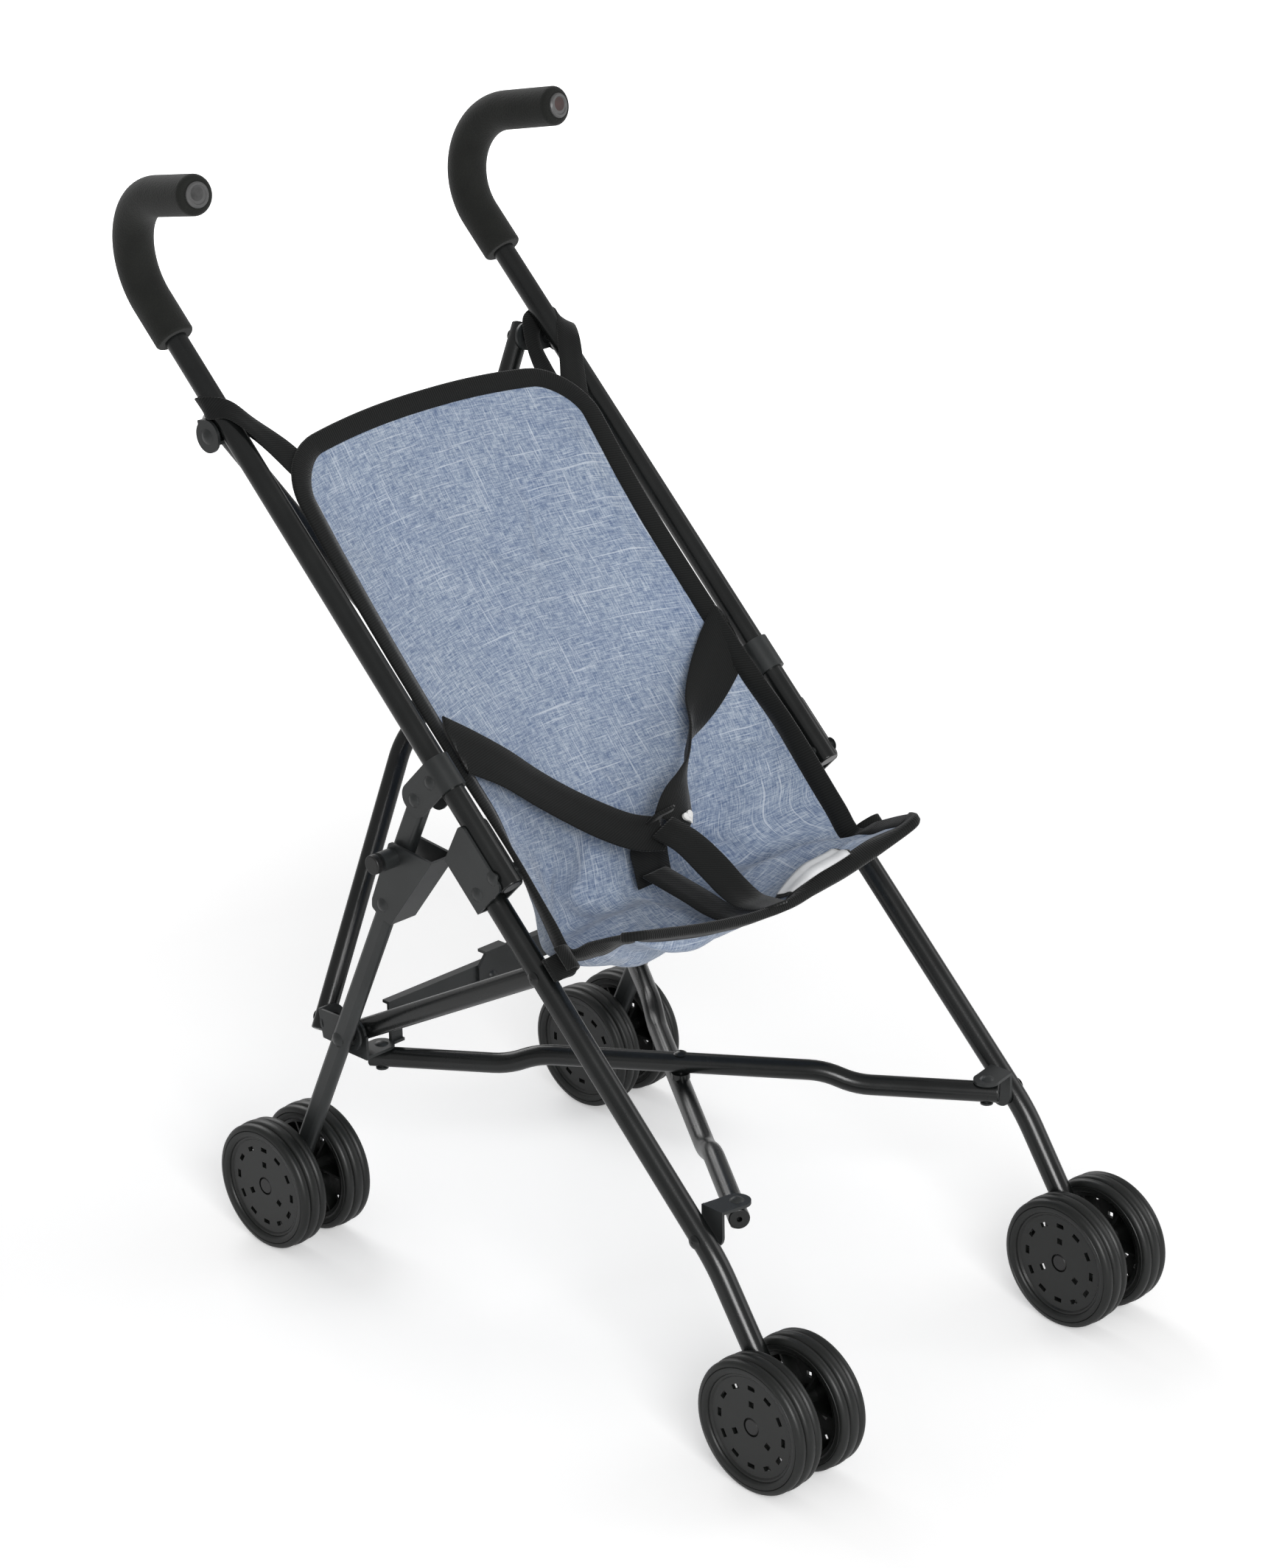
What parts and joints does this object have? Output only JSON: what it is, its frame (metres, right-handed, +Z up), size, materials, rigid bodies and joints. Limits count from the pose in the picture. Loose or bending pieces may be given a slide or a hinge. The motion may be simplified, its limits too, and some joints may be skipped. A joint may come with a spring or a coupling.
{
  "type": "doll stroller",
  "caption": "Umbrella-folding doll stroller with hooked handles, crossed steel tubes, fabric sling seat with harness, and double wheels on each leg.",
  "frame": {"origin": "middle of the overall box on the floor", "axes": "+Z up, -Y to the front (the way the doll faces), +X to the stroller's own left"},
  "size_m": [0.2598, 0.463, 0.5334],
  "materials": {
    "black_steel": "satin black powder coat",
    "grey_steel": "dark grey powder coat",
    "axle": "blackened steel",
    "foam": "matt black foam",
    "cap": "moulded plastic",
    "button": "moulded plastic",
    "wheel": "glossy black plastic",
    "tyre": "black ribbed soft tyre",
    "seat_fabric": "blue melange denim",
    "webbing": "black woven webbing",
    "stud": "white moulded snap stud"
  },
  "bodies": {
    "side_right": {"handle_tube_right": "black_steel", "grip_right": "foam", "grip_cap_right": "cap", "handle_clamp_right": "grey_steel", "seat_sling": "seat_fabric", "harness": "webbing", "harness_stud": "stud"},
    "upper_bracket_right": {"upper_bracket_right": "grey_steel"},
    "rear_leg_right": {"rear_leg_right": "grey_steel", "short_link_right": "grey_steel", "lock_channel_right": "grey_steel", "axle_rear_right": "axle"},
    "front_leg_right": {"front_leg_right": "black_steel", "knee_bracket_right": "grey_steel", "axle_front_right": "axle"},
    "side_strut_right": {"side_strut_right": "black_steel"},
    "rear_ear_right": {"rear_ear_bracket_right": "grey_steel"},
    "knuckle_right": {"lower_knuckle_right": "grey_steel"},
    "front_bracket_right": {"front_bracket_right": "grey_steel"},
    "brace_right": {"brace_arm_right": "grey_steel"},
    "button_right": {"lock_button_right": "button"},
    "wheel_front_right_outer": {"wheel_disc_front_right_outer": "wheel", "tyre_front_right_outer": "tyre"},
    "wheel_front_right_inner": {"wheel_disc_front_right_inner": "wheel", "tyre_front_right_inner": "tyre"},
    "wheel_rear_right_outer": {"wheel_disc_rear_right_outer": "wheel", "tyre_rear_right_outer": "tyre"},
    "wheel_rear_right_inner": {"wheel_disc_rear_right_inner": "wheel", "tyre_rear_right_inner": "tyre"},
    "side_left": {"handle_tube_left": "black_steel", "grip_left": "foam", "grip_cap_left": "cap", "handle_clamp_left": "grey_steel"},
    "upper_bracket_left": {"upper_bracket_left": "grey_steel"},
    "rear_leg_left": {"rear_leg_left": "grey_steel", "short_link_left": "grey_steel", "lock_channel_left": "grey_steel", "axle_rear_left": "axle"},
    "front_leg_left": {"front_leg_left": "black_steel", "knee_bracket_left": "grey_steel", "axle_front_left": "axle"},
    "side_strut_left": {"side_strut_left": "black_steel"},
    "rear_ear_left": {"rear_ear_bracket_left": "grey_steel"},
    "knuckle_left": {"lower_knuckle_left": "grey_steel"},
    "front_bracket_left": {"front_bracket_left": "grey_steel"},
    "brace_left": {"brace_arm_left": "grey_steel"},
    "button_left": {"lock_button_left": "button"},
    "wheel_front_left_outer": {"wheel_disc_front_left_outer": "wheel", "tyre_front_left_outer": "tyre"},
    "wheel_front_left_inner": {"wheel_disc_front_left_inner": "wheel", "tyre_front_left_inner": "tyre"},
    "wheel_rear_left_outer": {"wheel_disc_rear_left_outer": "wheel", "tyre_rear_left_outer": "tyre"},
    "wheel_rear_left_inner": {"wheel_disc_rear_left_inner": "wheel", "tyre_rear_left_inner": "tyre"},
    "rear_tube_a": {"rear_cross_tube_a": "black_steel"},
    "rear_tube_b": {"rear_cross_tube_b": "black_steel"},
    "lower_tube_a": {"lower_cross_tube_a": "black_steel"},
    "lower_tube_b": {"lower_cross_tube_b": "black_steel"}
  },
  "joints": [
    {"name": "fold", "type": "hinge", "parent": "rear_tube_a", "child": "rear_tube_b", "pos_m": [0, 0.14646, 0.2635], "axis": [0, -0.9787, 0.2052], "range_deg": [0, 49.68], "deforming": ["seat_sling", "harness", "harness_stud"]},
    {"name": "upper_pivot_right", "type": "hinge", "parent": "side_right", "child": "upper_bracket_right", "pos_m": [-0.108, 0.16585, 0.40778], "axis": [-1, 0, 0], "range_deg": [0, 21.48]},
    {"name": "upper_ear_right", "type": "hinge", "parent": "upper_bracket_right", "child": "rear_tube_a", "pos_m": [-0.097, 0.17676, 0.408], "axis": [0, 0.9787, -0.2052], "range_deg": [0, 24.84]},
    {"name": "upper_ear_left", "type": "hinge", "parent": "rear_tube_b", "child": "upper_bracket_left", "pos_m": [0.097, 0.17676, 0.408], "axis": [0, 0.9787, -0.2052], "range_deg": [0, 24.84]},
    {"name": "upper_pivot_left", "type": "hinge", "parent": "upper_bracket_left", "child": "side_left", "pos_m": [0.108, 0.16585, 0.40778], "axis": [1, 0, 0], "range_deg": [0, 21.48]},
    {"name": "rear_leg_right", "type": "hinge", "parent": "side_right", "child": "rear_leg_right", "pos_m": [-0.1068, 0.02865, 0.26379], "axis": [-1, 0, 0], "range_deg": [0, 49.05]},
    {"name": "knee_right", "type": "hinge", "parent": "side_right", "child": "front_leg_right", "pos_m": [-0.105, -0.02374, 0.2408], "axis": [-1, 0, 0], "range_deg": [0, 108.39]},
    {"name": "strut_right", "type": "hinge", "parent": "rear_leg_right", "child": "side_strut_right", "pos_m": [-0.093, 0.09016, 0.1205], "axis": [-1, 0, 0], "range_deg": [0, 4.02]},
    {"name": "rear_leg_left", "type": "hinge", "parent": "side_left", "child": "rear_leg_left", "pos_m": [0.1068, 0.02865, 0.26379], "axis": [-1, 0, 0], "range_deg": [0, 49.05]},
    {"name": "knee_left", "type": "hinge", "parent": "side_left", "child": "front_leg_left", "pos_m": [0.105, -0.02374, 0.2408], "axis": [-1, 0, 0], "range_deg": [0, 108.39]},
    {"name": "strut_left", "type": "hinge", "parent": "rear_leg_left", "child": "side_strut_left", "pos_m": [0.093, 0.09016, 0.1205], "axis": [-1, 0, 0], "range_deg": [0, 4.02]},
    {"name": "rear_ear_right", "type": "hinge", "parent": "rear_tube_b", "child": "rear_ear_right", "pos_m": [-0.097, 0.11616, 0.119], "axis": [0, 0.9787, -0.2052], "range_deg": [0, 24.84]},
    {"name": "rear_ear_left", "type": "hinge", "parent": "rear_tube_a", "child": "rear_ear_left", "pos_m": [0.097, 0.11616, 0.119], "axis": [0, -0.9787, 0.2052], "range_deg": [0, 24.84]},
    {"name": "knuckle_right", "type": "hinge", "parent": "rear_leg_right", "child": "knuckle_right", "pos_m": [-0.09975, 0.09016, 0.1205], "axis": [-1, 0, 0], "range_deg": [0, 28.69]},
    {"name": "lower_rear_right", "type": "hinge", "parent": "knuckle_right", "child": "lower_tube_a", "pos_m": [-0.085, 0.08866, 0.103], "axis": [0, -0.0171, -0.9999], "range_deg": [0, 29.81]},
    {"name": "lower_cross", "type": "hinge", "parent": "lower_tube_a", "child": "lower_tube_b", "pos_m": [0, -0.03154, 0.10505], "axis": [0, 0.0171, 0.9999], "range_deg": [0, 59.61]},
    {"name": "lower_front_left", "type": "hinge", "parent": "lower_tube_a", "child": "front_bracket_left", "pos_m": [0.085, -0.15174, 0.1071], "axis": [0, 0.0171, 0.9999], "range_deg": [0, 29.81]},
    {"name": "lower_front_right", "type": "hinge", "parent": "lower_tube_b", "child": "front_bracket_right", "pos_m": [-0.085, -0.15174, 0.1071], "axis": [0, -0.0171, -0.9999], "range_deg": [0, 29.81]},
    {"name": "lower_rear_left", "type": "hinge", "parent": "lower_tube_b", "child": "knuckle_left", "pos_m": [0.085, 0.08866, 0.103], "axis": [0, -0.0171, -0.9999], "range_deg": [0, 29.81]},
    {"name": "brace_right", "type": "hinge", "parent": "knuckle_right", "child": "brace_right", "pos_m": [-0.076, 0.08627, 0.12404], "axis": [0, -0.9999, 0.0171], "range_deg": [0, 80]},
    {"name": "brace_left", "type": "hinge", "parent": "knuckle_left", "child": "brace_left", "pos_m": [0.076, 0.09157, 0.12395], "axis": [0, 0.9999, -0.0171], "range_deg": [0, 80]},
    {"name": "button_right", "type": "slide", "parent": "rear_leg_right", "child": "button_right", "axis": [1, 0, 0], "range_m": [0, 0.0015], "stiffness_N_per_m": 400, "springref_m": -0.001},
    {"name": "button_left", "type": "slide", "parent": "rear_leg_left", "child": "button_left", "axis": [-1, 0, 0], "range_m": [0, 0.0015], "stiffness_N_per_m": 400, "springref_m": -0.001},
    {"name": "wheel_front_right_outer", "type": "hinge", "parent": "front_leg_right", "child": "wheel_front_right_outer", "pos_m": [-0.1192, -0.19883, 0.0327], "axis": [1, 0, 0], "continuous": true},
    {"name": "wheel_front_right_inner", "type": "hinge", "parent": "front_leg_right", "child": "wheel_front_right_inner", "pos_m": [-0.0908, -0.19883, 0.0327], "axis": [1, 0, 0], "continuous": true},
    {"name": "wheel_front_left_outer", "type": "hinge", "parent": "front_leg_left", "child": "wheel_front_left_outer", "pos_m": [0.1192, -0.19883, 0.0327], "axis": [1, 0, 0], "continuous": true},
    {"name": "wheel_front_left_inner", "type": "hinge", "parent": "front_leg_left", "child": "wheel_front_left_inner", "pos_m": [0.0908, -0.19883, 0.0327], "axis": [1, 0, 0], "continuous": true},
    {"name": "wheel_rear_right_outer", "type": "hinge", "parent": "rear_leg_right", "child": "wheel_rear_right_outer", "pos_m": [-0.1222, 0.13017, 0.0327], "axis": [1, 0, 0], "continuous": true},
    {"name": "wheel_rear_right_inner", "type": "hinge", "parent": "rear_leg_right", "child": "wheel_rear_right_inner", "pos_m": [-0.0938, 0.13017, 0.0327], "axis": [1, 0, 0], "continuous": true},
    {"name": "wheel_rear_left_outer", "type": "hinge", "parent": "rear_leg_left", "child": "wheel_rear_left_outer", "pos_m": [0.1222, 0.13017, 0.0327], "axis": [1, 0, 0], "continuous": true},
    {"name": "wheel_rear_left_inner", "type": "hinge", "parent": "rear_leg_left", "child": "wheel_rear_left_inner", "pos_m": [0.0938, 0.13017, 0.0327], "axis": [1, 0, 0], "continuous": true}
  ],
  "couplings": [
    {"joint": "upper_pivot_right", "follows": "fold", "ratio": 0.43235},
    {"joint": "upper_ear_right", "follows": "fold", "ratio": 0.5},
    {"joint": "upper_ear_left", "follows": "fold", "ratio": 0.5},
    {"joint": "upper_pivot_left", "follows": "fold", "ratio": 0.43235},
    {"joint": "rear_leg_right", "follows": "fold", "ratio": 0.98728},
    {"joint": "knee_right", "follows": "fold", "ratio": 2.1817},
    {"joint": "strut_right", "follows": "fold", "ratio": 0.080915},
    {"joint": "rear_leg_left", "follows": "fold", "ratio": 0.98728},
    {"joint": "knee_left", "follows": "fold", "ratio": 2.1817},
    {"joint": "strut_left", "follows": "fold", "ratio": 0.080915},
    {"joint": "rear_ear_right", "follows": "fold", "ratio": 0.5},
    {"joint": "rear_ear_left", "follows": "fold", "ratio": 0.5},
    {"joint": "knuckle_right", "follows": "fold", "ratio": 0.57747},
    {"joint": "lower_rear_right", "follows": "fold", "ratio": 0.59994},
    {"joint": "lower_cross", "follows": "fold", "ratio": 1.1999},
    {"joint": "lower_front_left", "follows": "fold", "ratio": 0.59994},
    {"joint": "lower_front_right", "follows": "fold", "ratio": 0.59994},
    {"joint": "lower_rear_left", "follows": "fold", "ratio": 0.59994},
    {"joint": "brace_right", "follows": "fold", "ratio": 1.6102},
    {"joint": "brace_left", "follows": "fold", "ratio": 1.6102}
  ]
}
